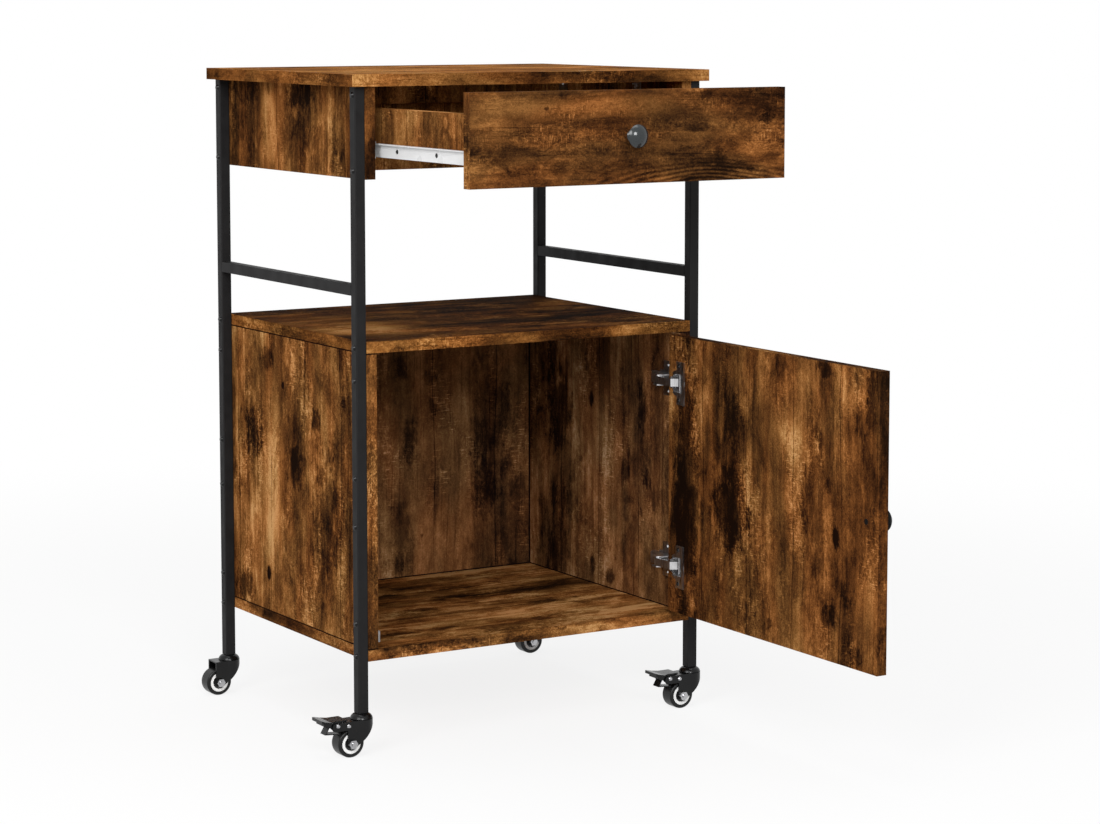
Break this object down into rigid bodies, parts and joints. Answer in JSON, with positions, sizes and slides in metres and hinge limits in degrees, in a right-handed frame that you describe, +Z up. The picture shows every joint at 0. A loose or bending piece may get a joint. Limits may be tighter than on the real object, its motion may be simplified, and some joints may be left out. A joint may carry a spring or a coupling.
{
  "type": "kitchen cart",
  "caption": "Narrow kitchen cart on swivel casters: wood-print worktop and shelf, sliding drawer, hinged cabinet door, black square-tube side frames with rungs",
  "frame": {"origin": "on the floor, midway between the four legs", "axes": "+Z up, -Y is the front with the door and the drawer, +X to the right seen from the front"},
  "size_m": [0.6097, 0.9204, 0.905],
  "materials": {
    "oak_print": "matt rustic oak print on board",
    "black_steel": "satin black powder coat",
    "black_screws": "black oxide",
    "white_coat": "white epoxy coat",
    "nylon": "white nylon",
    "nickel": "nickel plated steel",
    "zinc": "zinc plated steel",
    "black_knob": "gloss black",
    "grey_plastic": "grey plastic",
    "black_plastic": "black plastic",
    "caster_black": "gloss black coat",
    "tyre_black": "black tread",
    "core_white": "pale moulded core",
    "caster_steel": "bright steel"
  },
  "bodies": {
    "frame": {"top_board": "oak_print", "leg_front_left": "black_steel", "leg_front_right": "black_steel", "leg_rear_left": "black_steel", "leg_rear_right": "black_steel", "rung_left": "black_steel", "rung_right": "black_steel", "apron_left": "oak_print", "apron_right": "oak_print", "apron_back": "oak_print", "cabinet_top": "oak_print", "cabinet_bottom": "oak_print", "cabinet_side_left": "oak_print", "cabinet_side_right": "oak_print", "cabinet_back": "oak_print", "frame_screws": "black_screws", "worktop_brackets": "zinc", "wood_screws": "zinc", "hinge_plates": "nickel", "door_stop_block": "grey_plastic", "slide_rail_left": "white_coat", "slide_rail_right": "white_coat", "caster_stems": "caster_black", "leg_inserts": "black_plastic"},
    "drawer": {"drawer_front": "oak_print", "drawer_side_left": "oak_print", "drawer_side_right": "oak_print", "drawer_back": "oak_print", "drawer_bottom": "oak_print", "drawer_knob": "black_knob", "drawer_fittings": "zinc", "slide_runner_left": "white_coat", "slide_runner_right": "white_coat"},
    "door": {"door_panel": "oak_print", "door_knob": "black_knob", "door_screws": "zinc", "hinge_cups": "nickel"},
    "hinge_links": {"hinge_links": "nickel"},
    "rail_roller_left": {"rail_roller_left": "nylon"},
    "runner_roller_left": {"runner_roller_left": "nylon"},
    "rail_roller_right": {"rail_roller_right": "nylon"},
    "runner_roller_right": {"runner_roller_right": "nylon"},
    "fork_front_left": {"caster_fork_front_left": "caster_black", "caster_pins_front_left": "caster_steel"},
    "wheel_front_left": {"tyre_front_left": "tyre_black", "wheel_core_front_left": "core_white"},
    "fork_front_right": {"caster_fork_front_right": "caster_black", "caster_pins_front_right": "caster_steel"},
    "wheel_front_right": {"tyre_front_right": "tyre_black", "wheel_core_front_right": "core_white"},
    "fork_rear_left": {"caster_fork_rear_left": "caster_black", "caster_pins_rear_left": "caster_steel"},
    "wheel_rear_left": {"tyre_rear_left": "tyre_black", "wheel_core_rear_left": "core_white"},
    "fork_rear_right": {"caster_fork_rear_right": "caster_black", "caster_pins_rear_right": "caster_steel"},
    "wheel_rear_right": {"tyre_rear_right": "tyre_black", "wheel_core_rear_right": "core_white"},
    "pedal_front_left": {"brake_pedal_front_left": "caster_black"},
    "pedal_front_right": {"brake_pedal_front_right": "caster_black"}
  },
  "joints": [
    {"name": "door_hinge", "type": "hinge", "parent": "frame", "child": "door", "pos_m": [0.23863, -0.21707, 0.33975], "axis": [0, 0, 1], "range_deg": [-90, 5]},
    {"name": "hinge_link_fold", "type": "hinge", "parent": "frame", "child": "hinge_links", "pos_m": [0.2186, -0.19, 0.33975], "axis": [0, 0, 1], "range_deg": [-90, 5]},
    {"name": "drawer_slide", "type": "slide", "parent": "frame", "child": "drawer", "axis": [0, -1, 0], "range_m": [-0.2457, 0.035]},
    {"name": "rail_roller_spin_left", "type": "hinge", "parent": "frame", "child": "rail_roller_left", "pos_m": [-0.237, -0.1885, 0.8046], "axis": [1, 0, 0], "range_deg": [-1880, 270]},
    {"name": "runner_roller_spin_left", "type": "hinge", "parent": "drawer", "child": "runner_roller_left", "pos_m": [-0.2329, -0.10495, 0.803], "axis": [1, 0, 0], "range_deg": [-1880, 270]},
    {"name": "rail_roller_spin_right", "type": "hinge", "parent": "frame", "child": "rail_roller_right", "pos_m": [0.237, -0.1885, 0.8046], "axis": [1, 0, 0], "range_deg": [-1880, 270]},
    {"name": "runner_roller_spin_right", "type": "hinge", "parent": "drawer", "child": "runner_roller_right", "pos_m": [0.2329, -0.10495, 0.803], "axis": [1, 0, 0], "range_deg": [-1880, 270]},
    {"name": "caster_swivel_front_left", "type": "hinge", "parent": "frame", "child": "fork_front_left", "pos_m": [-0.2637, -0.20675, 0.05], "axis": [0, 0, 1], "continuous": true},
    {"name": "wheel_spin_front_left", "type": "hinge", "parent": "fork_front_left", "child": "wheel_front_left", "pos_m": [-0.2842, -0.20675, 0.019], "axis": [0, 1, 0], "continuous": true},
    {"name": "brake_pedal_front_left", "type": "hinge", "parent": "fork_front_left", "child": "pedal_front_left", "pos_m": [-0.3047, -0.20675, 0.0454], "axis": [0, -1, 0], "range_deg": [0, 14]},
    {"name": "caster_swivel_front_right", "type": "hinge", "parent": "frame", "child": "fork_front_right", "pos_m": [0.2637, -0.20675, 0.05], "axis": [0, 0, 1], "continuous": true},
    {"name": "wheel_spin_front_right", "type": "hinge", "parent": "fork_front_right", "child": "wheel_front_right", "pos_m": [0.2432, -0.20675, 0.019], "axis": [0, 1, 0], "continuous": true},
    {"name": "brake_pedal_front_right", "type": "hinge", "parent": "fork_front_right", "child": "pedal_front_right", "pos_m": [0.2227, -0.20675, 0.0454], "axis": [0, -1, 0], "range_deg": [0, 14]},
    {"name": "caster_swivel_rear_left", "type": "hinge", "parent": "frame", "child": "fork_rear_left", "pos_m": [-0.2637, 0.20675, 0.05], "axis": [0, 0, 1], "continuous": true},
    {"name": "wheel_spin_rear_left", "type": "hinge", "parent": "fork_rear_left", "child": "wheel_rear_left", "pos_m": [-0.2842, 0.20675, 0.019], "axis": [0, 1, 0], "continuous": true},
    {"name": "caster_swivel_rear_right", "type": "hinge", "parent": "frame", "child": "fork_rear_right", "pos_m": [0.2637, 0.20675, 0.05], "axis": [0, 0, 1], "continuous": true},
    {"name": "wheel_spin_rear_right", "type": "hinge", "parent": "fork_rear_right", "child": "wheel_rear_right", "pos_m": [0.2432, 0.20675, 0.019], "axis": [0, 1, 0], "continuous": true}
  ],
  "couplings": [
    {"joint": "hinge_link_fold", "follows": "door_hinge", "ratio": 1},
    {"joint": "rail_roller_spin_left", "follows": "drawer_slide", "rad_per_m": 133.33},
    {"joint": "runner_roller_spin_left", "follows": "drawer_slide", "rad_per_m": 133.33},
    {"joint": "rail_roller_spin_right", "follows": "drawer_slide", "rad_per_m": 133.33},
    {"joint": "runner_roller_spin_right", "follows": "drawer_slide", "rad_per_m": 133.33}
  ]
}
